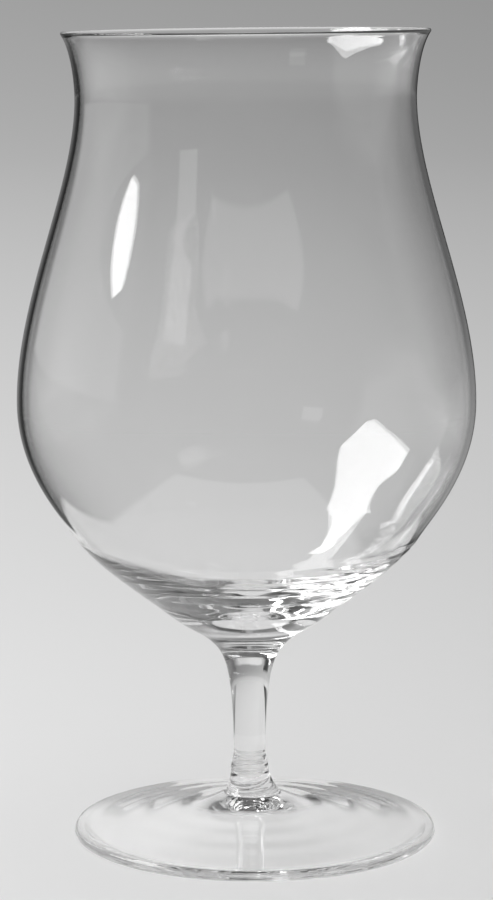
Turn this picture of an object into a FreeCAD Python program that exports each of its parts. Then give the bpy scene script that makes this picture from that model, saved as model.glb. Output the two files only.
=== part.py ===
import FreeCAD, Part
import os
import Sketcher

# Cognac glass, blown and drawn from one piece of clear glass: a tulip bowl with a
# flared rim, soft steps in the thick lower wall, a short stem and a wide round foot.
# It is turned about +Z and stands on z = 0. All sizes are in millimetres.

NODE = "cognac_glass"

# Driving sizes
# Each row is a name, its value and what it measures.
SIZES = [
    ("foot_diameter", 67.8, "foot, over its rounded edge"),
    ("foot_edge", 1.9, "thickness of the foot at its edge"),
    ("foot_rest_width", 2.6, "width of the flat ring that the foot stands on"),
    ("foot_hollow", 5.4, "rise of the foot's underside at its centre"),
    ("hollow_level_reach", 5.0, "how far the underside keeps level around its centre"),
    ("hollow_middle", 13.0, "radius inside which the underside climbs to its centre"),
    ("hollow_middle_rise", 3.1, "rise of the underside at that radius"),
    ("hollow_blend", 4.0, "how far inside that radius the underside keeps its slope"),
    ("foot_rise", 7.8, "height of the foot where the stem's collar meets it"),
    ("foot_slope_reach", 18.0, "reach of the foot's even slope in from its edge"),
    ("foot_slope_rise", 2.75, "rise of the foot's even slope over its reach"),
    ("foot_slope_blend", 5.0, "how far on the foot's top keeps that slope"),
    ("foot_steep", 2.6, "reach of the foot's steep part beside the collar"),
    ("foot_steep_fall", 1.05, "fall of the foot's steep part over its reach"),
    ("collar_diameter", 10.4, "stem's collar where it meets the foot"),
    ("collar_height", 4.1, "flare of the stem down to the foot"),
    ("collar_hollow", 0.025, "hollow of the collar's side against its length"),
    ("bead_diameter", 7.0, "stem under its lower bead"),
    ("lower_bead_height", 1.8, "lower bead on the stem"),
    ("bead_neck_diameter", 6.4, "stem between its two beads"),
    ("upper_bead_height", 1.4, "upper bead on the stem"),
    ("bead_top_diameter", 6.0, "stem above its two beads"),
    ("bead_bow", 0.08, "bow of a bead against its length"),
    ("waist_above_bead", 1.9, "from the beads up to the stem's waist"),
    ("waist_diameter", 5.94, "stem at its waist, its thinnest"),
    ("stem_height", 21.5, "from the stem's waist up to the bowl"),
    ("stem_slender_height", 16.3, "reach of the stem's slender part above its waist"),
    ("stem_thickening", 0.44, "growth of the stem's radius over its slender part"),
    ("flare_diameter", 18.8, "top of the stem's flare, under the bowl"),
    ("flare_height", 3.5, "reach of the flare's upper part"),
    ("flare_throat", 4.85, "how far the flare's upper part runs inwards"),
    ("lip_height", 2.0, "lip between the flare and the lowest step"),
    ("steps_low_diameter", 25.4, "bowl below its lowest step"),
    ("steps_height", 16.7, "height of all the steps"),
    ("steps_top_diameter", 64.3, "bowl above its highest step"),
    ("steps_crown", 1.2, "how far the stepped wall bows outwards"),
    ("steps_crown_lean", 0.9, "how much more the stepped wall bows near its top"),
    ("step_growth", 1.17, "height of a step against the one above it"),
    ("step_bow", 0.02, "bow of a step against its width"),
    ("wall_lead", 4.5, "height above the steps in which the wall keeps their slope"),
    ("belly_height", 24.6, "from the steps up to the widest part of the bowl"),
    ("belly_diameter", 84.6, "bowl at its widest"),
    ("belly_low_reach", 12.0, "reach of the belly's round below its widest"),
    ("belly_high_reach", 19.2, "reach of the belly's round above its widest"),
    ("neck_height", 56.3, "from the belly up to the neck"),
    ("neck_diameter", 62.2, "bowl at its neck"),
    ("neck_low_reach", 16.2, "reach of the neck's hollow below it"),
    ("neck_high_reach", 2.0, "reach of the neck's hollow above it"),
    ("rim_height", 11.9, "from the neck up to the top of the rim"),
    ("rim_diameter", 67.2, "rim, over its edge"),
    ("rim_reach", 3.5, "reach of the rim's straight flare"),
    ("rim_flare", 34.4, "angle of the rim's flare from upright, in degrees"),
    ("rim_wall", 0.9, "wall of the bowl at its rim"),
    ("rim_bevel", 0.3, "bevel of the rim's edge, on both sides"),
    ("wall", 1.0, "wall of the bowl from its neck to its highest step"),
    ("floor_lead", 1.0, "depth below the steps' top in which the inside keeps that slope"),
    ("floor_height", 4.2, "inside floor of the bowl, above the lowest step"),
    ("floor_inset", 1.9656, "from the steps' straight chord in to the floor's round"),
    ("floor_rise", 4.7, "rise of the floor's even round at its side"),
    ("floor_blend", 5.0, "how far on the inside keeps the slope of that round"),
]

# How many steps there are, from the bowl's smooth wall down to the lip
STEP_COUNT = 7


def make_sheet(doc):
    """The spreadsheet of driving sizes, one row each."""
    sheet = doc.addObject("Spreadsheet::Sheet", "sizes")
    for row, (alias, value, meaning) in enumerate(SIZES, start=1):
        sheet.set(f"A{row}", alias)
        sheet.set(f"B{row}", str(value))
        sheet.set(f"C{row}", meaning)
        sheet.setAlias(f"B{row}", alias)
    doc.recompute()
    return sheet


def size(name):
    """The expression for one driving size."""
    return f"sizes.{name}"


def half(name):
    """The expression for the radius of a size that is a diameter."""
    return f"sizes.{name} / 2"


def added(*names):
    """The expression for several sizes stacked on each other."""
    return "(" + " + ".join(size(name) for name in names) + ")"


# Heights above the table, each stacked on the one before
BEAD_LEVEL = added("foot_rise", "collar_height")
BEAD_NECK_LEVEL = f"({BEAD_LEVEL} + {size('lower_bead_height')})"
BEAD_TOP_LEVEL = f"({BEAD_NECK_LEVEL} + {size('upper_bead_height')})"
WAIST_LEVEL = f"({BEAD_TOP_LEVEL} + {size('waist_above_bead')})"
FLARE_LEVEL = f"({WAIST_LEVEL} + {size('stem_height')})"
STEPS_LOW_LEVEL = f"({FLARE_LEVEL} + {size('lip_height')})"
STEPS_TOP_LEVEL = f"({STEPS_LOW_LEVEL} + {size('steps_height')})"
BELLY_LEVEL = f"({STEPS_TOP_LEVEL} + {size('belly_height')})"
NECK_LEVEL = f"({BELLY_LEVEL} + {size('neck_height')})"
RIM_LEVEL = f"({NECK_LEVEL} + {size('rim_height')})"
FLOOR_LEVEL = f"({STEPS_LOW_LEVEL} + {size('floor_height')})"

# The stepped wall's run inwards, from its top to its lowest point, and at its top how
# far the wall runs inwards for each millimetre down
STEPS_RUN = f"({half('steps_top_diameter')} - {half('steps_low_diameter')})"
STEPS_CHORD = f"{STEPS_RUN} / {size('steps_height')}"
STEPS_BOW = f"4 * ({size('steps_crown')} + {size('steps_crown_lean')})"
STEPS_TOP_SLOPE = f"(({STEPS_RUN} - {STEPS_BOW}) / {size('steps_height')})"

# The radius of the floor's even round, which ends inside the stepped wall
FLOOR_SIDE = f"{added('floor_height', 'floor_rise')} * {STEPS_CHORD}"
FLOOR_REACH = f"({half('steps_low_diameter')} + {FLOOR_SIDE} - {size('floor_inset')})"

# The way up the flared wall at the rim
RIM_ALONG = (f"sin({size('rim_flare')})", f"cos({size('rim_flare')})")


class Outline:
    """A chain of curves in a sketch. Every point is a pair of expressions on the sheet:
    its distance from the axis and its height above the table."""

    def __init__(self, sketch):
        self.sketch = sketch
        self.constraints = []
        self.bindings = {}
        self.first = None
        self.last = None

    def place(self, point):
        """Where a point lies now."""
        across, up = (float(self.sketch.evalExpression(text)) for text in point)
        return FreeCAD.Vector(across, up, 0)

    def bind(self, kind, where, value, text):
        """Notes a constraint whose value comes from an expression."""
        self.bindings[len(self.constraints)] = text
        self.constraints.append(Sketcher.Constraint(kind, *where, value))

    def hold(self, geometry, position, point):
        """Holds one point of a curve at its two expressions."""
        here = self.place(point)
        if point[0] == "0":
            on_axis = Sketcher.Constraint("PointOnObject", geometry, position, -2)
            self.constraints.append(on_axis)
        else:
            self.bind("DistanceX", (-1, 1, geometry, position), here.x, point[0])
        if point[1] == "0":
            on_table = Sketcher.Constraint("PointOnObject", geometry, position, -1)
            self.constraints.append(on_table)
        else:
            self.bind("DistanceY", (-1, 1, geometry, position), here.y, point[1])

    def follow(self, geometry, start, end):
        """Joins a new curve to the end of the chain."""
        if self.last is None:
            self.first = (geometry, start)
        else:
            joint = Sketcher.Constraint("Coincident", *self.last, geometry, start)
            self.constraints.append(joint)
        self.last = (geometry, end)

    def line(self, start, end):
        """A straight stretch from the end of the chain."""
        segment = Part.LineSegment(self.place(start), self.place(end))
        geometry = self.sketch.addGeometry(segment, False)
        self.follow(geometry, 1, 2)
        self.hold(geometry, 2, end)

    def curve(self, start, start_pull, end_pull, end):
        """A smooth cubic stretch that leaves and arrives along its two pull points."""
        points = (start, start_pull, end_pull, end)
        poles = [self.place(point) for point in points]
        spline = Part.BSplineCurve(poles, None, None, False, 3, None, False)
        geometry = self.sketch.addGeometry(spline, False)
        self.sketch.exposeInternalGeometry(geometry)
        for number, point in enumerate(points, start=1):
            if number > 1 or self.last is None:
                self.hold(geometry + number, 3, point)
        self.follow(geometry, 1, 2)

    def arc(self, start, end, bow):
        """A round stretch whose middle stands out from its chord by a share of it."""
        here, there = self.place(start), self.place(end)
        chord = there - here
        outwards = FreeCAD.Vector(chord.y, -chord.x, 0)
        share = float(self.sketch.evalExpression(bow))
        middle = (here + there) / 2 + outwards * share
        geometry = self.sketch.addGeometry(Part.Arc(here, middle, there), False)
        near = self.sketch.getPoint(geometry, 1).distanceToPoint(here)
        far = self.sketch.getPoint(geometry, 2).distanceToPoint(here)
        ends = (1, 2) if near < far else (2, 1)
        self.follow(geometry, *ends)
        self.hold(geometry, ends[1], end)
        run = f"{end[0]} - ({start[0]})"
        rise = f"{end[1]} - ({start[1]})"
        swell = f"(1 + 4 * ({bow}) ^ 2) / (8 * abs({bow}))"
        radius = f"hypot({run}; {rise}) * {swell}"
        value = float(self.sketch.evalExpression(radius))
        self.bind("Radius", (geometry,), value, radius)

    def close(self, start):
        """A straight stretch back to the start of the chain, and every constraint at once."""
        here = self.sketch.getPoint(*self.last)
        segment = Part.LineSegment(here, self.place(start))
        geometry = self.sketch.addGeometry(segment, False)
        self.follow(geometry, 1, 2)
        joint = Sketcher.Constraint("Coincident", *self.last, *self.first)
        self.constraints.append(joint)
        already = self.sketch.ConstraintCount
        self.sketch.addConstraint(self.constraints)
        for number, text in self.bindings.items():
            self.sketch.setExpression(f"Constraints[{already + number}]", text)


def draw_foot(outline):
    """The foot: an underside that is hollow and climbs to its centre, a flat ring to
    stand on, a rounded edge and a top that slopes evenly from the edge and then climbs
    to the stem's collar."""
    edge_centre = f"({half('foot_diameter')} - {half('foot_edge')})"
    edge_pull = f"({edge_centre} + {size('foot_edge')} * 2 / 3)"
    ring_inside = f"({edge_centre} - {size('foot_rest_width')})"
    middle = (size("hollow_middle"), size("hollow_middle_rise"))
    fall = f"{middle[1]} / ({ring_inside} - {middle[0]})"
    outline.curve(
        ("0", size("foot_hollow")),
        (size("hollow_level_reach"), size("foot_hollow")),
        (
            f"{middle[0]} - {size('hollow_blend')}",
            f"{middle[1]} + {size('hollow_blend')} * {fall}",
        ),
        middle,
    )
    outline.line(middle, (ring_inside, "0"))
    outline.line((ring_inside, "0"), (edge_centre, "0"))
    edge_top = (edge_centre, size("foot_edge"))
    outline.curve(
        (edge_centre, "0"),
        (edge_pull, "0"),
        (edge_pull, size("foot_edge")),
        edge_top,
    )
    slope_end = (
        f"({edge_centre} - {size('foot_slope_reach')})",
        f"({size('foot_edge')} + {size('foot_slope_rise')})",
    )
    slope = f"{size('foot_slope_rise')} / {size('foot_slope_reach')}"
    blend = (
        f"{slope_end[0]} - {size('foot_slope_blend')}",
        f"{slope_end[1]} + {size('foot_slope_blend')} * {slope}",
    )
    steep = (
        f"{half('collar_diameter')} + {size('foot_steep')}",
        f"{size('foot_rise')} - {size('foot_steep_fall')}",
    )
    collar = (half("collar_diameter"), size("foot_rise"))
    outline.line(edge_top, slope_end)
    outline.curve(slope_end, blend, steep, collar)


def draw_stem(outline):
    """The stem: a collar, two small beads, the slender waist and the flare to the bowl."""
    collar = (half("collar_diameter"), size("foot_rise"))
    bead = (half("bead_diameter"), BEAD_LEVEL)
    bead_neck = (half("bead_neck_diameter"), BEAD_NECK_LEVEL)
    bead_top = (half("bead_top_diameter"), BEAD_TOP_LEVEL)
    waist = (half("waist_diameter"), WAIST_LEVEL)
    flare = (half("flare_diameter"), FLARE_LEVEL)
    slender = (
        f"{waist[0]} + {size('stem_thickening')}",
        f"{WAIST_LEVEL} + {size('stem_slender_height')}",
    )
    throat = (
        f"{flare[0]} - {size('flare_throat')}",
        f"{FLARE_LEVEL} - {size('flare_height')}",
    )
    outline.arc(collar, bead, f"-{size('collar_hollow')}")
    outline.arc(bead, bead_neck, size("bead_bow"))
    outline.arc(bead_neck, bead_top, size("bead_bow"))
    outline.line(bead_top, waist)
    outline.curve(waist, slender, throat, flare)


def step_point(number):
    """The lower end of a step, counted from the top. The steps grow downwards along a
    wall that bows outwards, and number 0 is the top of the highest one."""
    if number == 0:
        return (half("steps_top_diameter"), STEPS_TOP_LEVEL)
    if number == STEP_COUNT:
        return (half("steps_low_diameter"), STEPS_LOW_LEVEL)
    growth = size("step_growth")
    share = f"(({growth} ^ {number} - 1) / ({growth} ^ {STEP_COUNT} - 1))"
    crown = f"({size('steps_crown')} + {size('steps_crown_lean')} * (1 - 2 * {share}))"
    bow = f"4 * {crown} * {share} * (1 - {share})"
    across = f"({half('steps_top_diameter')} - {STEPS_RUN} * {share} + {bow})"
    up = f"({STEPS_TOP_LEVEL} - {size('steps_height')} * {share})"
    return (across, up)


def draw_steps(outline):
    """The lip above the flare, and the soft steps around the thick lower wall."""
    flare = (half("flare_diameter"), FLARE_LEVEL)
    outline.arc(flare, step_point(STEP_COUNT), size("step_bow"))
    for number in range(STEP_COUNT, 0, -1):
        outline.arc(step_point(number), step_point(number - 1), size("step_bow"))


def bowl_points(wall):
    """Where the bowl's outer side passes, moved inwards by a wall: the top of the steps,
    the belly and the neck."""
    inwards = f" - {wall}" if wall else ""
    steps_top = (f"({half('steps_top_diameter')}{inwards})", STEPS_TOP_LEVEL)
    belly = (f"({half('belly_diameter')}{inwards})", BELLY_LEVEL)
    neck = (f"({half('neck_diameter')}{inwards})", NECK_LEVEL)
    return steps_top, belly, neck


def side_curves(wall, rim):
    """One side of the bowl's wall up to one side of the rim, as three smooth curves
    listed from the steps up."""
    steps_top, belly, neck = bowl_points(wall)
    belly_curve = (
        steps_top,
        (
            f"{steps_top[0]} + {size('wall_lead')} * {STEPS_TOP_SLOPE}",
            f"{steps_top[1]} + {size('wall_lead')}",
        ),
        (belly[0], f"{BELLY_LEVEL} - {size('belly_low_reach')}"),
        belly,
    )
    shoulder_curve = (
        belly,
        (belly[0], f"{BELLY_LEVEL} + {size('belly_high_reach')}"),
        (neck[0], f"{NECK_LEVEL} - {size('neck_low_reach')}"),
        neck,
    )
    rim_curve = (
        neck,
        (neck[0], f"{NECK_LEVEL} + {size('neck_high_reach')}"),
        tuple(f"{at} - {size('rim_reach')} * {along}" for at, along in zip(rim, RIM_ALONG)),
        rim,
    )
    return belly_curve, shoulder_curve, rim_curve


def draw_rim(outline, outside, inside):
    """The rim: level, with a small bevel on both sides."""
    top_outside = (f"({outside[0]} - {size('rim_bevel')})", RIM_LEVEL)
    top_inside = (f"({inside[0]} + {size('rim_bevel')})", RIM_LEVEL)
    outline.line(outside, top_outside)
    outline.line(top_outside, top_inside)
    outline.line(top_inside, inside)


def draw_floor(outline, inside_low):
    """The inside of the bowl's thick base: a curve that turns in from the wall, and an
    even round that is level at the centre."""
    slope = f"2 * atan({size('floor_rise')} / {FLOOR_REACH})"
    round_side = (FLOOR_REACH, f"({FLOOR_LEVEL} + {size('floor_rise')})")
    outline.curve(
        inside_low,
        (
            f"{inside_low[0]} - {size('floor_lead')} * {STEPS_TOP_SLOPE}",
            f"{inside_low[1]} - {size('floor_lead')}",
        ),
        (
            f"{round_side[0]} + {size('floor_blend')} * cos({slope})",
            f"{round_side[1]} + {size('floor_blend')} * sin({slope})",
        ),
        round_side,
    )
    outline.arc(round_side, ("0", FLOOR_LEVEL), f"-tan({slope} / 4) / 2")


def draw_bowl(outline):
    """The bowl: its outside up to the rim, its inside down to the floor, and back along
    the axis to the foot."""
    rim_side = f"({RIM_LEVEL} - {size('rim_bevel')})"
    rim_outside = (f"({half('rim_diameter')})", rim_side)
    rim_inside = (f"({half('rim_diameter')} - {size('rim_wall')})", rim_side)
    for points in side_curves("", rim_outside):
        outline.curve(*points)
    draw_rim(outline, rim_outside, rim_inside)
    inside = side_curves(size("wall"), rim_inside)
    for points in reversed(inside):
        outline.curve(*reversed(points))
    draw_floor(outline, inside[0][0])
    outline.close(("0", size("foot_hollow")))


def make_glass(doc):
    """The glass: its half section, turned once about the axis."""
    body = doc.addObject("PartDesign::Body", NODE)
    body.Label = NODE
    section = body.newObject("Sketcher::SketchObject", "half_section")
    upright = [item for item in body.Origin.OriginFeatures if item.Role == "XZ_Plane"]
    section.AttachmentSupport = (upright[0], "")
    section.MapMode = "FlatFace"
    doc.recompute()
    outline = Outline(section)
    draw_foot(outline)
    draw_stem(outline)
    draw_steps(outline)
    draw_bowl(outline)
    doc.recompute()
    turned = body.newObject("PartDesign::Revolution", "turned_glass")
    turned.Profile = section
    turned.ReferenceAxis = (section, ["V_Axis"])
    turned.Angle = 360
    body.Tip = turned
    section.Visibility = False
    body.Placement = FreeCAD.Placement()
    return body


def check(doc, body):
    """Stops if anything in the document failed, or the glass isn't one valid solid."""
    for item in doc.Objects:
        if "Invalid" in item.State or "Error" in item.State:
            raise RuntimeError(f"{item.Name} failed: {item.State}")
    shape = body.Shape
    if shape.isNull() or not shape.isValid() or len(shape.Solids) != 1:
        raise RuntimeError(f"{body.Label} isn't one valid solid")


def main():
    doc = FreeCAD.newDocument("cognac_glass")
    make_sheet(doc)
    glass = make_glass(doc)
    doc.recompute()
    check(doc, glass)
    os.makedirs("parts", exist_ok=True)
    glass.Shape.exportStep(os.path.join("parts", f"{glass.Label}.step"))
    box = glass.Shape.BoundBox
    print(f"{glass.Label}: {box.XLength:.2f} x {box.YLength:.2f} x {box.ZLength:.2f} mm")
    print(f"volume {glass.Shape.Volume / 1000:.2f} cm3")


main()
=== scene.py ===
import math

import bpy
from bpy.props import FloatProperty, FloatVectorProperty, IntProperty, PointerProperty
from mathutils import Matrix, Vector


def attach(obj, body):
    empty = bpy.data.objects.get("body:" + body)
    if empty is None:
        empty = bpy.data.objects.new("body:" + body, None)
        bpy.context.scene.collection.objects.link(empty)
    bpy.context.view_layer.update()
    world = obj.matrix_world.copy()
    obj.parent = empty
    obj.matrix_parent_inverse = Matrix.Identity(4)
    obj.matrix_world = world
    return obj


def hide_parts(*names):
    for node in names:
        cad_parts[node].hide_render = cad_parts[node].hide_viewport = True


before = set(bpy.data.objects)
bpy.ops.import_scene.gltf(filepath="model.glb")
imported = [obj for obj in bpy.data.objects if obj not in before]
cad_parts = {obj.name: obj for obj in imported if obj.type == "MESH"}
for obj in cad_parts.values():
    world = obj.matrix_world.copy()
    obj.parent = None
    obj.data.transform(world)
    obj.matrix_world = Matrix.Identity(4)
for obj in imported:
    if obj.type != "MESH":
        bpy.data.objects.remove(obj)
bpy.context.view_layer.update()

bl_info = {
    "name": "Cognac glass",
    "version": (1, 0, 0),
    "blender": (4, 5, 0),
    "location": "3D View > Sidebar > Glass",
    "description": "A cognac glass of clear blown glass on a pale studio floor",
    "category": "Object",
}

MM = 0.001
NODE = "cognac_glass"

# How many steps ring the thick lower wall
STEP_COUNT = 7

# How strongly the steps bow around the glass: degrees from the right, and a share of the
# way from the bow on the left to the bow on the right
STEP_BOW_STOPS = (
    (0, 1.0), (20, 0.9), (45, 0.1), (90, 0.0), (200, 0.0), (240, 0.15), (275, 0.5), (330, 1.0),
)


# Properties

def length(name, millimetres, description):
    """A size that a user may change, given here in millimetres."""
    return FloatProperty(
        name=name,
        description=description,
        default=millimetres * MM,
        precision=5,
        unit="LENGTH",
    )


def share(name, default, description):
    """A plain number, from nothing upwards."""
    return FloatProperty(name=name, description=description, default=default, soft_min=0)


def angle(name, degrees, description):
    """An angle, given here in degrees."""
    return FloatProperty(
        name=name, description=description, default=math.radians(degrees), subtype="ANGLE"
    )


def grey(name, level, description):
    """A neutral colour in linear light."""
    return FloatVectorProperty(
        name=name,
        description=description,
        default=(level, level, level),
        min=0,
        max=1,
        subtype="COLOR",
    )


class GlassSizes(bpy.types.PropertyGroup):
    """Where the glass's outside and inside pass, and how uneven the blown glass is."""

    foot_radius: length("Foot radius", 33.9, "Over the foot's rounded edge")
    foot_edge: length("Foot edge", 1.9, "Thickness of the foot at its edge")
    foot_ring: length("Foot ring", 2.6, "Width of the ring that the foot stands on")
    foot_hollow: length("Foot hollow", 5.4, "Rise of the foot's underside at its centre")
    hollow_middle: length("Hollow middle", 13.0, "Where the underside turns up more steeply")
    hollow_middle_level: length("Hollow middle level", 3.1, "Rise of the underside there")
    foot_rise: length("Foot rise", 7.8, "Height of the foot at the stem's collar")
    collar_radius: length("Collar radius", 5.2, "Stem's collar where it meets the foot")
    bead_level: length("Bead level", 11.9, "Foot of the lower bead on the stem")
    bead_radius: length("Bead radius", 3.5, "Stem under its lower bead")
    bead_neck_level: length("Bead neck level", 13.7, "Between the two beads")
    bead_neck_radius: length("Bead neck radius", 3.2, "Stem between its two beads")
    bead_top_level: length("Bead top level", 15.1, "Top of the upper bead")
    bead_top_radius: length("Bead top radius", 3.0, "Stem above its two beads")
    waist_level: length("Waist level", 17.0, "Stem's thinnest place")
    waist_radius: length("Waist radius", 2.97, "Stem at its thinnest")
    flare_level: length("Flare level", 38.5, "Top of the flare under the bowl")
    flare_radius: length("Flare radius", 9.4, "Top of the flare under the bowl")
    steps_low_level: length("Steps low level", 40.5, "Bottom of the lowest step")
    steps_low_radius: length("Steps low radius", 12.7, "Bowl below its lowest step")
    steps_top_level: length("Steps top level", 57.2, "Top of the highest step")
    steps_top_radius: length("Steps top radius", 32.15, "Bowl above its highest step")
    steps_crown: length("Steps crown", 1.2, "How far the stepped wall bows outwards")
    steps_crown_lean: length("Steps crown lean", 0.9, "How much more it bows near its top")
    step_growth: share("Step growth", 1.17, "Height of a step against the one above it")
    step_bow_left: share("Step bow left", 0.006, "Bow of a step on the left")
    step_bow_right: share("Step bow right", 0.04, "Bow of a step on the right")
    belly_level: length("Belly level", 81.8, "Widest place of the bowl")
    belly_radius: length("Belly radius", 42.3, "Bowl at its widest")
    neck_level: length("Neck level", 138.1, "Narrowest place above the belly")
    neck_radius: length("Neck radius", 31.1, "Bowl at its neck")
    rim_level: length("Rim level", 150.0, "Top of the rim")
    rim_radius: length("Rim radius", 33.6, "Over the rim's edge")
    rim_round: length("Rim round", 0.34, "Radius of the rim's fire-polished edge")
    rim_lean: angle("Rim lean", 34.4, "How far the flare under the rim leans outwards")
    wall: length("Wall", 1.0, "Wall of the bowl")
    steps_wall: length("Steps wall", 1.0, "Wall of the bowl above its steps")
    floor_lead: length("Floor lead", 2.2, "How far down the inside turns to its floor")
    floor_level: length("Floor level", 44.7, "Inside floor of the bowl, at its centre")
    floor_reach: length("Floor reach", 21.1, "From the axis out to the edge of the floor")
    floor_rise: length("Floor rise", 4.7, "How much higher the floor is at its edge")
    foot_offset: length("Foot offset", 1.58, "How far the foot sits to the right of the bowl")
    stem_offset: length("Stem offset", 0.58, "How far the stem sits to the right of the bowl")
    rim_offset: length("Rim offset", -0.15, "How far the rim sits to the right of the bowl")
    rim_drop: length("Rim drop", 0.35, "How much lower the rim is at its middle")
    ripple: length("Ripple", 0.03, "Unevenness of the thick wall's rings")
    foot_ripple: length("Foot ripple", 0.03, "Height of the soft rings on the foot's top")
    segments: IntProperty(
        name="Segments", description="Faces around the glass", default=240, min=24
    )


class GlassFinish(bpy.types.PropertyGroup):
    """How the clear glass looks."""

    clear: grey("Clear glass", 0.995, "Tint of the glass where it is clearest")
    clouded: grey("Clouded glass", 0.975, "Tint of the glass in its faint streaks")
    ior: share("Index of refraction", 1.5, "How strongly the glass bends light")
    polish: share("Polish", 0.0, "Roughness of the fire-polished surface")
    handling: share("Handling", 0.012, "Roughness where the surface was handled")
    # Painted glow: the rim's edge emits a little light, though glass is no lamp
    rim_glow: grey("Rim glow", 0.04, "Light that the wall gathers and the rim lets out")
    rim_glow_level: length("Rim glow level", 149.15, "Where the rim's edge begins")
    striation: share("Striation", 0.25, "Strength of the fine level striations")
    striation_height: length("Striation height", 0.02, "Height of the fine striations")


class StageLook(bpy.types.PropertyGroup):
    """The pale floor and backdrop, the lamps and the camera."""

    room_radius: length("Room radius", 3000, "Reach of the floor and its cove")
    room_height: length("Room height", 3200, "Height of the backdrop")
    paper_grey: grey("Paper", 0.755, "Floor around the glass")
    # Painted shade: the paper's colour and glow darken with distance and to the right
    paper_painted_falloff: share("Paper fall", 0.52, "How fast the paper darkens with distance")
    paper_painted_shade_right: share("Paper lean", 1.05, "How much darker the paper is on the right")
    paper_lit: share("Paper lit", 0.5, "Share of its brightness that the lamps give it")
    # Painted reflections: what the glass mirrors and bends shows the paper as a painted bright
    # sheet and a dimmer painted room
    sheet_left: length("Sheet left", 77, "Left edge of the bright sheet in reflections")
    sheet_right: length("Sheet right", 58, "Right edge of the bright sheet in reflections")
    sheet_front: length("Sheet front", 118, "Front edge of the bright sheet in reflections")
    sheet_edge: length("Sheet edge", 6, "Softness of the sheet's edges in reflections")
    sheet_widening: share("Sheet widening", 0.45, "How fast the sheet widens behind the glass")
    room_left: share("Room left", 0.38, "Brightness behind on the left in reflections")
    room_right: share("Room right", 0.5, "Brightness behind on the right in reflections")
    room_above: share("Room above", 2.3, "Brightness behind and above in reflections")
    painted_room_beside: share("Room beside", 0.7, "Brightness on the left in reflections")
    painted_dark_room: share("Dark room", 0.04, "Brightness of the rest of the room in reflections")
    sky: grey("Sky", 0.95, "Even light above the open backdrop")
    sky_in_glass: grey("Sky in glass", 0.12, "What reflections and glass show of that sky")
    lamp_distance: length("Lamp distance", 1900, "From the glass to the lamps and the card")
    lamp_level: length("Lamp level", 90, "Height from which the lamps' bearings are taken")
    lamp_strength: share("Lamp strength", 6.8, "Brightness of the window-like lamp")
    focal_length: FloatProperty(
        name="Focal length",
        description="Camera's focal length in millimetres on a 36 mm tall sensor",
        default=121.83,
    )
    camera_away: length("Camera away", 557.2, "How far the camera stands in front")
    camera_level: length("Camera level", 157.7, "Height of the camera")
    camera_pitch: angle("Camera pitch", 8.68, "How far the camera looks down")


# Materials

# A Mix node's sockets for colours, which come after those for numbers and directions
FIRST_COLOUR, SECOND_COLOUR, MIXED_COLOUR = 6, 7, 2


class Value:
    """What a node gives. Arithmetic on it adds Math nodes, also with a plain number on
    the left."""

    def __init__(self, tree, socket):
        self.tree = tree
        self.socket = socket

    def maths(self, operation, *values):
        """A Math node that works on these values."""
        node = self.tree.nodes.new("ShaderNodeMath")
        node.operation = operation
        for place, value in zip(node.inputs, values):
            feed(self.tree, place, value)
        return Value(self.tree, node.outputs[0])

    def __add__(self, other):
        return self.maths("ADD", self, other)

    def __radd__(self, other):
        return self.maths("ADD", other, self)

    def __sub__(self, other):
        return self.maths("SUBTRACT", self, other)

    def __rsub__(self, other):
        return self.maths("SUBTRACT", other, self)

    def __mul__(self, other):
        return self.maths("MULTIPLY", self, other)

    def __rmul__(self, other):
        return self.maths("MULTIPLY", other, self)

    def __truediv__(self, other):
        return self.maths("DIVIDE", self, other)

    def __pow__(self, other):
        return self.maths("POWER", self, other)

    def __neg__(self):
        return self.maths("MULTIPLY", self, -1.0)

    def __abs__(self):
        return self.maths("ABSOLUTE", self)

    def larger(self, other):
        """The larger of the two."""
        return self.maths("MAXIMUM", self, other)

    def smaller(self, other):
        """The smaller of the two."""
        return self.maths("MINIMUM", self, other)

    def clamped(self):
        """The same, kept between nothing and one."""
        return self.smaller(1.0).larger(0.0)

    def rising(self, start, reach):
        """Nothing up to the start, then more, and one from the reach onwards."""
        return ((self - start) / reach).clamped()

    def falling(self, start, reach):
        """One up to the start, then less, and nothing from the reach onwards."""
        return (1.0 - (self - start) / reach).clamped()


def feed(tree, place, value):
    """Links a value to a socket, or sets the socket to a plain value."""
    if isinstance(value, Value):
        tree.links.new(value.socket, place)
    else:
        place.default_value = value


class Shading:
    """The nodes of one material or world."""

    def __init__(self, owner):
        owner.use_nodes = True
        self.tree = owner.node_tree
        self.tree.nodes.clear()

    def node(self, kind, settings=None, sockets=None):
        """A node of any kind: its settings first, then its sockets' values or links."""
        made = self.tree.nodes.new(kind)
        for name, setting in (settings or {}).items():
            setattr(made, name, setting)
        for place, value in (sockets or {}).items():
            feed(self.tree, made.inputs[place], value)
        return made

    def out(self, made, name=0):
        """One output of a node, as a value."""
        return Value(self.tree, made.outputs[name])

    def blend(self, factor, first, second):
        """A colour between two colours."""
        made = self.node("ShaderNodeMix", {"data_type": "RGBA"}, {"Factor": factor})
        feed(self.tree, made.inputs[FIRST_COLOUR], first)
        feed(self.tree, made.inputs[SECOND_COLOUR], second)
        return Value(self.tree, made.outputs[MIXED_COLOUR])

    def position(self):
        """Where a point of the surface lies, in metres: across, in depth and up."""
        place = self.node("ShaderNodeNewGeometry")
        parts = self.node("ShaderNodeSeparateXYZ", None, {0: self.out(place, "Position")})
        return [self.out(parts, axis) for axis in "XYZ"]

    def finish(self, shader, kind="ShaderNodeOutputMaterial"):
        """The shader becomes the surface of the material or world."""
        self.node(kind, None, {"Surface": self.out(shader)})


# How often the fine striations change, for each metre across and for each metre up
STRIATIONS_ACROSS, STRIATIONS_UP = 20.0, 900.0

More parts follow.
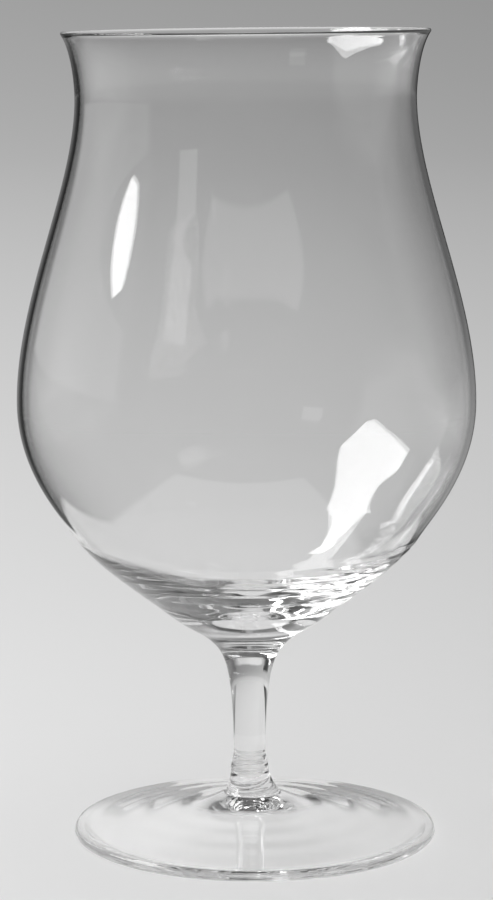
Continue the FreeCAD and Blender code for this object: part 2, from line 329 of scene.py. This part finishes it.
# Middle of the thick lower wall, and how far from it the striations end
THICK_LEVEL, THICK_REACH = 48 * MM, 12 * MM

# How often the clouding changes for each metre, and how much it gathers in few places
CLOUDING, CLOUD_GATHERING = 55.0, 4.0

# How much the rim rises for each metre to the right, and how soon its painted glow is full
RIM_TILT, RIM_GLOW_REACH = 0.0104, 0.2 * MM

# Light that passes through the glass on its way to the floor
SHADOW_TINT = (0.96, 0.96, 0.96, 1)


def clear_glass(look):
    """Clear blown glass: faint streaks and fine level striations, and a little duller where it was
    handled. Its rim's edge has a painted glow. Lamps shine through it on to the floor."""
    material = bpy.data.materials.new("clear_glass")
    nodes = Shading(material)
    across, depth, up = nodes.position()
    stretched = nodes.node(
        "ShaderNodeCombineXYZ", None,
        {
            "X": across * STRIATIONS_ACROSS,
            "Y": depth * STRIATIONS_ACROSS,
            "Z": up * STRIATIONS_UP,
        },
    )
    striations = nodes.node(
        "ShaderNodeTexNoise", None,
        {"Vector": nodes.out(stretched), "Scale": 1.0, "Detail": 2.0, "Roughness": 0.6},
    )
    place = nodes.node("ShaderNodeNewGeometry")
    clouds = nodes.node(
        "ShaderNodeTexNoise", None,
        {"Vector": nodes.out(place, "Position"), "Scale": CLOUDING, "Detail": 3.0},
    )
    cloud = nodes.out(clouds, "Fac")
    thick = abs(up - THICK_LEVEL).falling(0.0, THICK_REACH)
    bump = nodes.node(
        "ShaderNodeBump", None,
        {
            "Strength": look.striation,
            "Distance": look.striation_height,
            "Height": nodes.out(striations, "Fac") * thick,
        },
    )
    colour = nodes.blend(cloud, (*look.clear, 1), (*look.clouded, 1))
    # Painted glow: the rim's edge emits a little light, though it is no lamp
    at_rim = (up - across * RIM_TILT).rising(look.rim_glow_level, RIM_GLOW_REACH)
    painted_rim_glow = nodes.blend(at_rim, (0, 0, 0, 1), (*look.rim_glow, 1))
    glass = nodes.node(
        "ShaderNodeBsdfPrincipled", None,
        {
            "Base Color": colour,
            "Roughness": look.polish + cloud ** CLOUD_GATHERING * look.handling,
            "IOR": look.ior,
            "Transmission Weight": 1.0,
            "Emission Color": painted_rim_glow,
            "Emission Strength": 1.0,
            "Normal": nodes.out(bump),
        },
    )
    light_path = nodes.node("ShaderNodeLightPath")
    passing = nodes.node("ShaderNodeBsdfTransparent", None, {"Color": SHADOW_TINT})
    mixed = nodes.node(
        "ShaderNodeMixShader", None,
        {0: nodes.out(light_path, "Is Shadow Ray"), 1: nodes.out(glass), 2: nodes.out(passing)},
    )
    nodes.finish(mixed)
    return material


# Height up to which the paper's painted shade darkens it upwards, and how much faster than with
# distance
UPWARDS_END, UPWARDS_FALL = 0.15, 8.0

# Light that has passed fewer surfaces than this came through one wall or solid glass
THIN_WALL_PASSES = 3.0

# How far the line behind which light counts as bent moves back, for each metre sideways
SIDE_SHARE = 0.4

# Where a change in the paper's look begins and how far it reaches, in metres
LIT_FADE = (0.12, 0.4)
NEAR_GLASS = (0.4, 0.1)
HIGH_UP = (1 / 6, 1 / 6)
PAST_GLASS = (-0.02, 0.04)
FAR_BEHIND = (0.075, 0.05)
ROOM_START = (0.0, 0.2)
ABOVE_START, ABOVE_END = (1 / 3, 1 / 3), (1.8, 0.5)
BESIDE_START, BESIDE_EDGE = (0.15, 1 / 6), (0.0, 0.25)

# The same sideways behind the glass, in metres to the side for each metre of depth
LEFT_START, LEFT_END, LEFT_AGAIN = (0.0, 0.02), (0.2, 0.25), (2 / 3, 1 / 3)
RIGHT_START, RIGHT_BRIGHTER = (0.2, 1 / 12), (0.5, 0.5)
ABOVE_SIDES = (0.7 / 3, 1 / 3)

# What is added to the depth before it divides, and how much brighter the far right is
DEPTH_LEAST, RIGHT_GAIN = 0.1, 1.6

# What the paper sends back to itself
BOUNCE_TINT = (0.05, 0.05, 0.05, 1)


def bent_light(across, depth, up, away):
    """Where light that solid glass bends is told apart from light through a thin wall:
    behind the glass, and near it or high up."""
    behind = (depth - abs(across) * SIDE_SHARE).rising(*PAST_GLASS)
    return behind * away.falling(*NEAR_GLASS).larger(up.rising(*HIGH_UP))


def painted_bright_sheet(look, across, depth, turned_back):
    """A painted bright sheet under the glass, shown in what the glass mirrors and bends. It widens
    behind the glass, and narrows again far behind it in what the glass mirrors."""
    far = depth.rising(*FAR_BEHIND) * turned_back
    wider = depth.larger(0.0) * look.sheet_widening * (1.0 - far)
    left = (-across - wider).falling(look.sheet_left, look.sheet_edge)
    right = (across - wider).falling(look.sheet_right, look.sheet_edge)
    front = (-depth).falling(look.sheet_front, look.sheet_edge)
    return left * right * front


def painted_room_behind(look, across, depth, up):
    """Painted light and shade of the room behind the glass: brighter on the left, on the right and
    above.
    """
    rightwards = across / (depth.larger(0.0) + DEPTH_LEAST)
    leftwards = -rightwards
    left = leftwards.falling(*LEFT_END).larger(leftwards.rising(*LEFT_AGAIN))
    left = left * leftwards.rising(*LEFT_START) * look.room_left
    right = 1.0 + rightwards.rising(*RIGHT_BRIGHTER) * RIGHT_GAIN
    right = right * rightwards.rising(*RIGHT_START) * look.room_right
    above = up.rising(*ABOVE_START) * up.falling(*ABOVE_END)
    above = above * abs(rightwards).falling(*ABOVE_SIDES) * look.room_above
    return (left + right + above) * depth.rising(*ROOM_START)


def painted_room_beside(look, across, depth):
    """Painted light of the room on the left of the glass, which only light from inside the glass
    sees.
    """
    beside = (-across).rising(*BESIDE_START) * (-across - depth).rising(*BESIDE_EDGE)
    return beside * (depth - across / 2.0).rising(*BESIDE_EDGE) * look.painted_room_beside


def pale_paper(look):
    """Pale seamless paper with painted shade: its glow and colour darken with distance, upwards
    and to the right. Its own glow shows to the camera, in reflections and through glass, and the
    rest of its brightness is lit by the lamps, so that the floor keeps the glass's shadow. What
    the glass mirrors, and what its solid stem and foot bend, is a painted reflection: a bright
    sheet under the glass with a dim room around it."""
    material = bpy.data.materials.new("pale_paper")
    nodes = Shading(material)
    across, depth, up = nodes.position()
    away = (across * across + depth * depth) ** 0.5
    light_path = nodes.node("ShaderNodeLightPath")
    to_camera = nodes.out(light_path, "Is Camera Ray")
    mirrored = nodes.out(light_path, "Is Glossy Ray")
    through = nodes.out(light_path, "Is Transmission Ray")
    shown = to_camera.larger(mirrored).larger(through)
    turned_back = nodes.out(light_path, "Glossy Depth").clamped()
    passes = nodes.out(light_path, "Transmission Depth")
    # Painted shade: darker with distance, upwards and to the right
    fall = (1.0 + away + up.smaller(UPWARDS_END) * UPWARDS_FALL) ** -look.paper_painted_falloff
    level = fall * (1.0 - look.paper_painted_shade_right * across / (1.0 + away))
    # Painted reflections: what the glass mirrors or bends sees the paper as a painted bright sheet
    # and a dimmer painted room
    bent = (THIN_WALL_PASSES - passes) * (1.0 - to_camera) * bent_light(across, depth, up, away)
    bent = bent.larger(turned_back).clamped()
    around = painted_bright_sheet(look, across, depth, turned_back)
    around = around.larger(painted_room_behind(look, across, depth, up))
    around = around.larger(painted_room_beside(look, across, depth) * passes.clamped())
    around = around.larger(look.painted_dark_room)
    level = level * (1.0 - bent * (1.0 - around))
    lit = look.paper_lit * away.falling(*LIT_FADE)
    black = (0, 0, 0, 1)
    paper = (*look.paper_grey, 1)
    glow = nodes.blend((1.0 - lit) * level, black, paper)
    paint = nodes.blend(lit * level, black, paper)
    sheet = nodes.node(
        "ShaderNodeBsdfPrincipled", None,
        {
            "Base Color": paint,
            "Roughness": 1.0,
            "Specular IOR Level": 0.0,
            "Emission Color": glow,
            "Emission Strength": 1.0,
        },
    )
    unseen = nodes.node("ShaderNodeBsdfDiffuse", None, {"Color": BOUNCE_TINT})
    mixed = nodes.node(
        "ShaderNodeMixShader", None, {0: shown, 1: nodes.out(unseen), 2: nodes.out(sheet)}
    )
    nodes.finish(mixed)
    return material


def card_paint(name, level):
    """Even glow of a lamp or of the card beside the glass."""
    material = bpy.data.materials.new(name)
    nodes = Shading(material)
    glow = nodes.node(
        "ShaderNodeEmission", None, {"Color": (level, level, level, 1), "Strength": 1.0}
    )
    nodes.finish(glow)
    return material


# Shapes

# Closer to the axis than this, a ring of points is one point
ON_AXIS = 1e-7

# Points on one step, around the foot's edge and around the rim
STEP_POINTS, EDGE_POINTS, RIM_POINTS = 8, 12, 10

# How strongly the thick wall's rings waver, as a share, by height, and how the inside does
RIPPLE_STOPS = (
    (7 * MM, 0.0), (12 * MM, 0.15), (30 * MM, 0.2), (42 * MM, 1.0), (51 * MM, 1.0),
    (58 * MM, 0.0), (150 * MM, 0.0),
)
INSIDE_RIPPLE = 0.2

# The waves in them: share, waves around the glass, turn for each metre up, and start
RIPPLE_WAVES = ((0.6, 2, 260, 0.0), (0.4, 3, -410, 2.0))

# Within this distance from the axis the waves die down
CALM_RADIUS = 6 * MM

# How strongly the foot's top ripples, as a share, by distance from the axis
FOOT_RIPPLE_STOPS = ((7 * MM, 0.0), (14 * MM, 1.0), (20 * MM, 1.0), (31 * MM, 0.1))

# Turn of the foot's rings for each metre outwards, and how they waver around the foot:
# swing, waves around the foot, and start
FOOT_RING_TURN = 1000
FOOT_WAVES = ((1.3, 1, 0.6), (0.5, 3, 0.0))

# Points around the paper
PAPER_SIDES = 96


def between(start, end, count):
    """Even points on a straight stretch, without its start."""
    return [
        tuple(a + (b - a) * step / count for a, b in zip(start, end))
        for step in range(1, count + 1)
    ]


def curve(start, start_pull, end_pull, end, count):
    """Points on a smooth stretch that leaves and arrives along its pulls, without its
    start."""
    points = []
    for step in range(1, count + 1):
        t = step / count
        weights = ((1 - t) ** 3, 3 * t * (1 - t) ** 2, 3 * t * t * (1 - t), t ** 3)
        corners = (start, start_pull, end_pull, end)
        points.append(tuple(
            sum(weight * corner[axis] for weight, corner in zip(weights, corners))
            for axis in (0, 1)
        ))
    return points


def bowed(start, end, bow, count):
    """Points on a stretch that bows out from its chord by a share of it, without its
    start."""
    run, rise = end[0] - start[0], end[1] - start[1]
    points = []
    for step in range(1, count + 1):
        t = step / count
        swell = 4 * bow * t * (1 - t)
        points.append((start[0] + run * t + rise * swell, start[1] + rise * t - run * swell))
    return points


def softened(points, passes):
    """The same stretch with its creases rounded off and its ends kept."""
    for _ in range(passes):
        inner = [
            tuple((a + 2 * b + c) / 4 for a, b, c in zip(before, here, after))
            for before, here, after in zip(points, points[1:], points[2:])
        ]
        points = [points[0], *inner, points[-1]]
    return points


def step_point(sizes, number):
    """The lower end of a step, counted from the top."""
    growth = sizes.step_growth
    part = (growth ** number - 1) / (growth ** STEP_COUNT - 1)
    crown = sizes.steps_crown + sizes.steps_crown_lean * (1 - 2 * part)
    run = sizes.steps_top_radius - sizes.steps_low_radius
    height = sizes.steps_top_level - sizes.steps_low_level
    across = sizes.steps_top_radius - run * part + 4 * crown * part * (1 - part)
    return (across, sizes.steps_top_level - height * part)


def steps_slope(sizes):
    """How far the wall runs inwards for each metre down, at the top of the steps."""
    run = sizes.steps_top_radius - sizes.steps_low_radius
    crown = 4 * (sizes.steps_crown + sizes.steps_crown_lean)
    return (run - crown) / (sizes.steps_top_level - sizes.steps_low_level)


def foot_half(sizes):
    """The foot from the middle of its underside to the stem's collar."""
    half_edge = sizes.foot_edge / 2
    edge = sizes.foot_radius - half_edge
    ring = edge - sizes.foot_ring
    start = (0.0, sizes.foot_hollow)
    hollow = (sizes.hollow_middle, sizes.hollow_middle_level)
    fall = hollow[1] / (ring - hollow[0])
    start_pull, hollow_pull = 5 * MM, 4 * MM
    under = curve(
        start, (start_pull, start[1]),
        (hollow[0] - hollow_pull, hollow[1] + hollow_pull * fall), hollow, count=12,
    )
    under += between(hollow, (ring, 0.0), count=22)
    under += between((ring, 0.0), (edge, 0.0), count=5)
    rounded = []
    for step in range(1, EDGE_POINTS + 1):
        turn = math.pi * step / EDGE_POINTS
        rounded.append((
            edge + half_edge * math.sin(turn),
            half_edge * (1 - math.cos(turn)),
        ))
    slope_run, slope_rise = 18 * MM, 2.75 * MM
    blend_run, blend_rise = 5 * MM, 0.764 * MM
    collar_run, collar_drop = 2.6 * MM, 1.05 * MM
    edge_top = (edge, sizes.foot_edge)
    slope_end = (edge - slope_run, sizes.foot_edge + slope_rise)
    blend = (slope_end[0] - blend_run, slope_end[1] + blend_rise)
    steep = (sizes.collar_radius + collar_run, sizes.foot_rise - collar_drop)
    collar = (sizes.collar_radius, sizes.foot_rise)
    top = between(edge_top, slope_end, count=24)
    top += curve(slope_end, blend, steep, collar, count=20)
    return softened([start] + under, passes=3), rounded + top


def stem_half(sizes):
    """The stem from its collar over two small beads and its waist to the flare."""
    collar = (sizes.collar_radius, sizes.foot_rise)
    bead = (sizes.bead_radius, sizes.bead_level)
    neck = (sizes.bead_neck_radius, sizes.bead_neck_level)
    top = (sizes.bead_top_radius, sizes.bead_top_level)
    waist = (sizes.waist_radius, sizes.waist_level)
    flare = (sizes.flare_radius, sizes.flare_level)
    waist_run, waist_rise = 0.44 * MM, 16.3 * MM
    throat_run, throat_drop = 4.85 * MM, 3.5 * MM
    collar_bow, bead_bow = -0.05, 0.12
    slender = (waist[0] + waist_run, waist[1] + waist_rise)
    throat = (flare[0] - throat_run, flare[1] - throat_drop)
    low = [collar] + bowed(collar, bead, collar_bow, count=9)
    low += bowed(bead, neck, bead_bow, count=6) + bowed(neck, top, bead_bow, count=6)
    low += between(top, waist, count=4)
    return softened(low, passes=2)[1:] + curve(waist, slender, throat, flare, count=30)


def steps_half(sizes, bow):
    """The lip above the flare and the soft steps around the thick lower wall."""
    flare = (sizes.flare_radius, sizes.flare_level)
    lowest = step_point(sizes, STEP_COUNT)
    points = [flare] + bowed(flare, lowest, sizes.step_bow_left, STEP_POINTS)
    for number in range(STEP_COUNT, 0, -1):
        start, end = step_point(sizes, number), step_point(sizes, number - 1)
        points += bowed(start, end, bow, STEP_POINTS)
    return softened(points, passes=1)[1:]


def wall_half(sizes, low_wall, wall, rim):
    """One side of the bowl's wall from the top of the steps up to the rim. Each pull says
    how far the wall keeps its direction from a point."""
    low = (sizes.steps_top_radius - low_wall, sizes.steps_top_level)
    belly = (sizes.belly_radius - wall, sizes.belly_level)
    neck = (sizes.neck_radius - wall, sizes.neck_level)
    low_pull = 4.5 * MM
    belly_pull_down, belly_pull_up = 12 * MM, 19.2 * MM
    neck_pull_down, neck_pull_up = 16.2 * MM, 2 * MM
    rim_pull = 3.5 * MM
    points = curve(
        low, (low[0] + low_pull * steps_slope(sizes), low[1] + low_pull),
        (belly[0], belly[1] - belly_pull_down), belly, count=24,
    )
    points += curve(
        belly, (belly[0], belly[1] + belly_pull_up),
        (neck[0], neck[1] - neck_pull_down), neck, count=36,
    )
    points += curve(
        neck, (neck[0], neck[1] + neck_pull_up),
        (
            rim[0] - rim_pull * math.sin(sizes.rim_lean),
            rim[1] - rim_pull * math.cos(sizes.rim_lean),
        ),
        rim, count=14,
    )
    return [low] + points


def bowl_half(sizes):
    """The bowl's outside up to the rounded rim, and its inside down to the floor."""
    edge = sizes.rim_round
    centre = (sizes.rim_radius - edge, sizes.rim_level - edge)
    across, down = edge * math.cos(sizes.rim_lean), edge * math.sin(sizes.rim_lean)
    outside = wall_half(sizes, 0.0, 0.0, (centre[0] + across, centre[1] - down))
    inside = wall_half(
        sizes, sizes.steps_wall, sizes.wall, (centre[0] - across, centre[1] + down),
    )
    rim = []
    for step in range(1, RIM_POINTS):
        turn = math.pi * step / RIM_POINTS - sizes.rim_lean
        rim.append((centre[0] + edge * math.cos(turn), centre[1] + edge * math.sin(turn)))
    low = inside[0]
    lead, side_pull = sizes.floor_lead, 5 * MM
    tilt = 2 * math.atan(sizes.floor_rise / sizes.floor_reach)
    side = (sizes.floor_reach, sizes.floor_level + sizes.floor_rise)
    floor = curve(
        low, (low[0] - lead * steps_slope(sizes), low[1] - lead),
        (side[0] + side_pull * math.cos(tilt), side[1] + side_pull * math.sin(tilt)),
        side, count=16,
    )
    floor += bowed(side, (0.0, sizes.floor_level), -math.tan(tilt / 4) / 2, count=22)
    return outside[1:] + rim, inside[::-1] + floor


def passed(level, stops):
    """A value that changes smoothly through stops, each a level and its value."""
    if level <= stops[0][0]:
        return stops[0][1]
    for (low, first), (high, second) in zip(stops, stops[1:]):
        if level < high:
            t = (level - low) / (high - low)
            return first + (second - first) * t * t * (3 - 2 * t)
    return stops[-1][1]


def half_section(sizes, bow):
    """The half section in three stretches: the underside, the outside up to the rim and
    the inside of the bowl."""
    under, foot = foot_half(sizes)
    bowl, inside = bowl_half(sizes)
    outside = foot + stem_half(sizes) + steps_half(sizes, bow) + bowl
    return (("under", under), ("outside", outside), ("inside", inside))


def uneven(sizes, point, turn, side):
    """Where a point of the turned shape lies in the slightly uneven blown glass."""
    across, up = point
    stem = sizes.stem_offset
    offset = passed(up, (
        (4 * MM, sizes.foot_offset), (13 * MM, stem), (36 * MM, stem), (42 * MM, 0.35 * stem),
        (64 * MM, 0.0), (95 * MM, 0.0), (138 * MM, sizes.rim_offset),
    ))
    drop = passed(up, ((100 * MM, 0.0), (140 * MM, sizes.rim_drop)))
    strength = sizes.ripple * passed(up, RIPPLE_STOPS)
    if side == "inside":
        strength *= INSIDE_RIPPLE
    wave = sum(
        part * math.sin(around * turn + climb * up + start)
        for part, around, climb, start in RIPPLE_WAVES
    )
    if side == "outside" and up < sizes.foot_rise:
        waver = sum(swing * math.sin(around * turn + start) for swing, around, start in FOOT_WAVES)
        ripple = math.sin(FOOT_RING_TURN * across + waver)
        up += sizes.foot_ripple * passed(across, FOOT_RIPPLE_STOPS) * ripple
    across += strength * wave * min(1.0, across / CALM_RADIUS)
    x = across * math.cos(turn)
    return (x + offset, across * math.sin(turn), up - drop * (1 - x / sizes.rim_radius))


def ring_faces(rings):
    """Faces from each ring of points to the next. A ring on the axis is one point."""
    faces = []
    for lower, upper in zip(rings, rings[1:]):
        count = max(len(lower), len(upper))
        for number in range(count):
            following = (number + 1) % count
            if len(lower) == 1:
                faces.append((lower[0], upper[following], upper[number]))
            elif len(upper) == 1:
                faces.append((lower[number], lower[following], upper[0]))
            else:
                faces.append((
                    lower[number], lower[following], upper[following], upper[number],
                ))
    return faces


def glass_mesh(sizes):
    """The half section turned about the axis, as one closed and smooth mesh. Its steps
    bow out more on the right."""
    left_half = half_section(sizes, sizes.step_bow_left)
    right_half = half_section(sizes, sizes.step_bow_right)
    points, rings = [], []
    for (side, left), (_, right) in zip(left_half, right_half):
        for left_point, right_point in zip(left, right):
            if left_point[0] < ON_AXIS:
                rings.append([len(points)])
                points.append(uneven(sizes, (0.0, left_point[1]), 0.0, side))
                continue
            rings.append(list(range(len(points), len(points) + sizes.segments)))
            for number in range(sizes.segments):
                turn = 2 * math.pi * number / sizes.segments
                part = passed(math.degrees(turn), STEP_BOW_STOPS)
                point = tuple(a + (b - a) * part for a, b in zip(left_point, right_point))
                points.append(uneven(sizes, point, turn, side))
    mesh = bpy.data.meshes.new(NODE + "_blown")
    mesh.from_pydata(points, [], ring_faces(rings))
    mesh.validate()
    mesh.shade_smooth()
    return mesh


def added(name, data):
    """A new object in the scene."""
    made = bpy.data.objects.new(name, data)
    bpy.context.scene.collection.objects.link(made)
    return made


def direction(azimuth, elevation, distance):
    """A place at a bearing in degrees from +X and a height in degrees above the floor."""
    bearing, height = math.radians(azimuth), math.radians(elevation)
    flat = distance * math.cos(height)
    return (flat * math.cos(bearing), flat * math.sin(bearing), distance * math.sin(height))


# Lamps and the card: name, share of the lamps' strength, and corners as bearings from the
# right and heights, in degrees
LAMPS = (
    ("window_lamp", 1.0, (
        (197, 19), (192, 17.3), (187, 18.8), (183, 20), (175, 21), (158, 21.5), (156, 28),
        (162, 36), (157, 42), (146, 47), (137, 49), (132, 50.3), (127, 48.5), (122, 48),
        (115, 47), (112, 50.5), (116, 52.5), (122, 53), (127, 53.5), (132, 55), (147, 56),
        (158, 56), (171, 54.5), (183, 53), (195, 47.5), (203, 42), (206, 36), (200, 24),
    )),
    ("pale_card", 0.07, ((203, 0), (133, 0), (133, 14), (203, 15))),
    ("side_lamp", 0.5, ((137, 12), (132, 12), (131, 31), (138, 31))),
    ("front_lamp", 0.12, ((238, 16.3), (226, 16.3), (226, 26), (238, 26))),
)


# Operators

class GLASS_OT_blow(bpy.types.Operator):
    """Make the cognac glass"""

    bl_idname = "glass.blow"
    bl_label = "Cognac glass"

    def execute(self, context):
        sizes = context.scene.glass_sizes
        piece = added("blown_" + NODE, glass_mesh(sizes))
        piece.data.materials.append(clear_glass(context.scene.glass_finish))
        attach(piece, "root")
        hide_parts(NODE)
        return {"FINISHED"}


class GLASS_OT_stage(bpy.types.Operator):
    """Make the pale floor and backdrop, the lamps and the camera"""

    bl_idname = "glass.stage"
    bl_label = "Stage"

    def execute(self, context):
        look = context.scene.glass_stage
        self.paper(look)
        self.lamps(look)
        self.world(context.scene, look)
        self.camera(context.scene, look)
        self.light_paths(context.scene.cycles)
        context.scene.view_settings.view_transform = "Standard"
        return {"FINISHED"}

    def paper(self, look):
        """The floor, its cove and the backdrop, turned about the glass."""
        cove_share, cove_points = 0.25, 16
        cove = look.room_radius * cove_share
        floor = look.room_radius - cove
        half = between((0.0, 0.0), (floor, 0.0), count=6)
        for step in range(1, cove_points + 1):
            turn = math.pi / 2 * step / cove_points
            half.append((floor + cove * math.sin(turn), cove * (1 - math.cos(turn))))
        half += between(half[-1], (look.room_radius, look.room_height), count=4)
        points, rings = [(0.0, 0.0, 0.0)], [[0]]
        for across, up in half:
            rings.append(list(range(len(points), len(points) + PAPER_SIDES)))
            for number in range(PAPER_SIDES):
                turn = 2 * math.pi * number / PAPER_SIDES
                points.append((across * math.cos(turn), across * math.sin(turn), up))
        mesh = bpy.data.meshes.new("paper_sweep")
        mesh.from_pydata(points, [], [face[::-1] for face in ring_faces(rings)])
        mesh.shade_smooth()
        mesh.materials.append(pale_paper(look))
        added("paper_sweep", mesh)

    def lamps(self, look):
        """A window-like lamp on the left, narrower ones beside it and a dim card below it."""
        middle = Vector((0.0, 0.0, look.lamp_level))
        for name, strength, corners in LAMPS:
            points = [
                middle + Vector(direction(*corner, look.lamp_distance)) for corner in corners
            ]
            mesh = bpy.data.meshes.new(name)
            mesh.from_pydata(points, [], [range(len(points))])
            mesh.materials.append(card_paint(name, look.lamp_strength * strength))
            lamp = added(name, mesh)
            lamp.visible_camera = False

    def world(self, scene, look):
        """A soft even sky above the open top of the backdrop."""
        world = bpy.data.worlds.new("soft_sky")
        nodes = Shading(world)
        light_path = nodes.node("ShaderNodeLightPath")
        mirrored = nodes.out(light_path, "Is Glossy Ray")
        seen = mirrored.larger(nodes.out(light_path, "Is Transmission Ray"))
        tone = nodes.blend(seen, (*look.sky, 1), (*look.sky_in_glass, 1))
        sky = nodes.node("ShaderNodeBackground", None, {"Color": tone, "Strength": 1.0})
        nodes.finish(sky, "ShaderNodeOutputWorld")
        scene.world = world

    def light_paths(self, cycles):
        """Enough turns for light to find its way out of the thick glass."""
        cycles.max_bounces = 32
        cycles.glossy_bounces = 24
        cycles.transmission_bounces = 32

    def camera(self, scene, look):
        """The camera at the photograph's viewing angle."""
        lens = bpy.data.cameras.new("camera")
        lens.sensor_fit = "VERTICAL"
        lens.sensor_height = 36
        lens.lens = look.focal_length
        lens.clip_start = 0.01
        lens.clip_end = 20
        made = added("camera", lens)
        made.location = (0.0, -look.camera_away, look.camera_level)
        made.rotation_euler = (math.pi / 2 - look.camera_pitch, 0, 0)
        scene.camera = made


class GLASS_PT_making(bpy.types.Panel):
    """Lists what can be made and its sizes and colours."""

    bl_label = "Cognac glass"
    bl_idname = "GLASS_PT_making"
    bl_space_type = "VIEW_3D"
    bl_region_type = "UI"
    bl_category = "Glass"

    def draw(self, context):
        for operator, group in (
            (GLASS_OT_blow, context.scene.glass_sizes),
            (None, context.scene.glass_finish),
            (GLASS_OT_stage, context.scene.glass_stage),
        ):
            box = self.layout.box()
            if operator:
                box.operator(operator.bl_idname)
            for name in group.__annotations__:
                box.prop(group, name)


CLASSES = (
    GlassSizes, GlassFinish, StageLook, GLASS_OT_blow, GLASS_OT_stage, GLASS_PT_making,
)


def register():
    """Adds the classes, and the sizes and looks to the scene."""
    for item in CLASSES:
        bpy.utils.register_class(item)
    bpy.types.Scene.glass_sizes = PointerProperty(type=GlassSizes)
    bpy.types.Scene.glass_finish = PointerProperty(type=GlassFinish)
    bpy.types.Scene.glass_stage = PointerProperty(type=StageLook)


def unregister():
    """Takes out what register adds."""
    del bpy.types.Scene.glass_sizes
    del bpy.types.Scene.glass_finish
    del bpy.types.Scene.glass_stage
    for item in reversed(CLASSES):
        bpy.utils.unregister_class(item)


def main():
    """Makes the glass and its stage."""
    register()
    bpy.ops.glass.blow()
    bpy.ops.glass.stage()


if __name__ == "__main__":
    main()
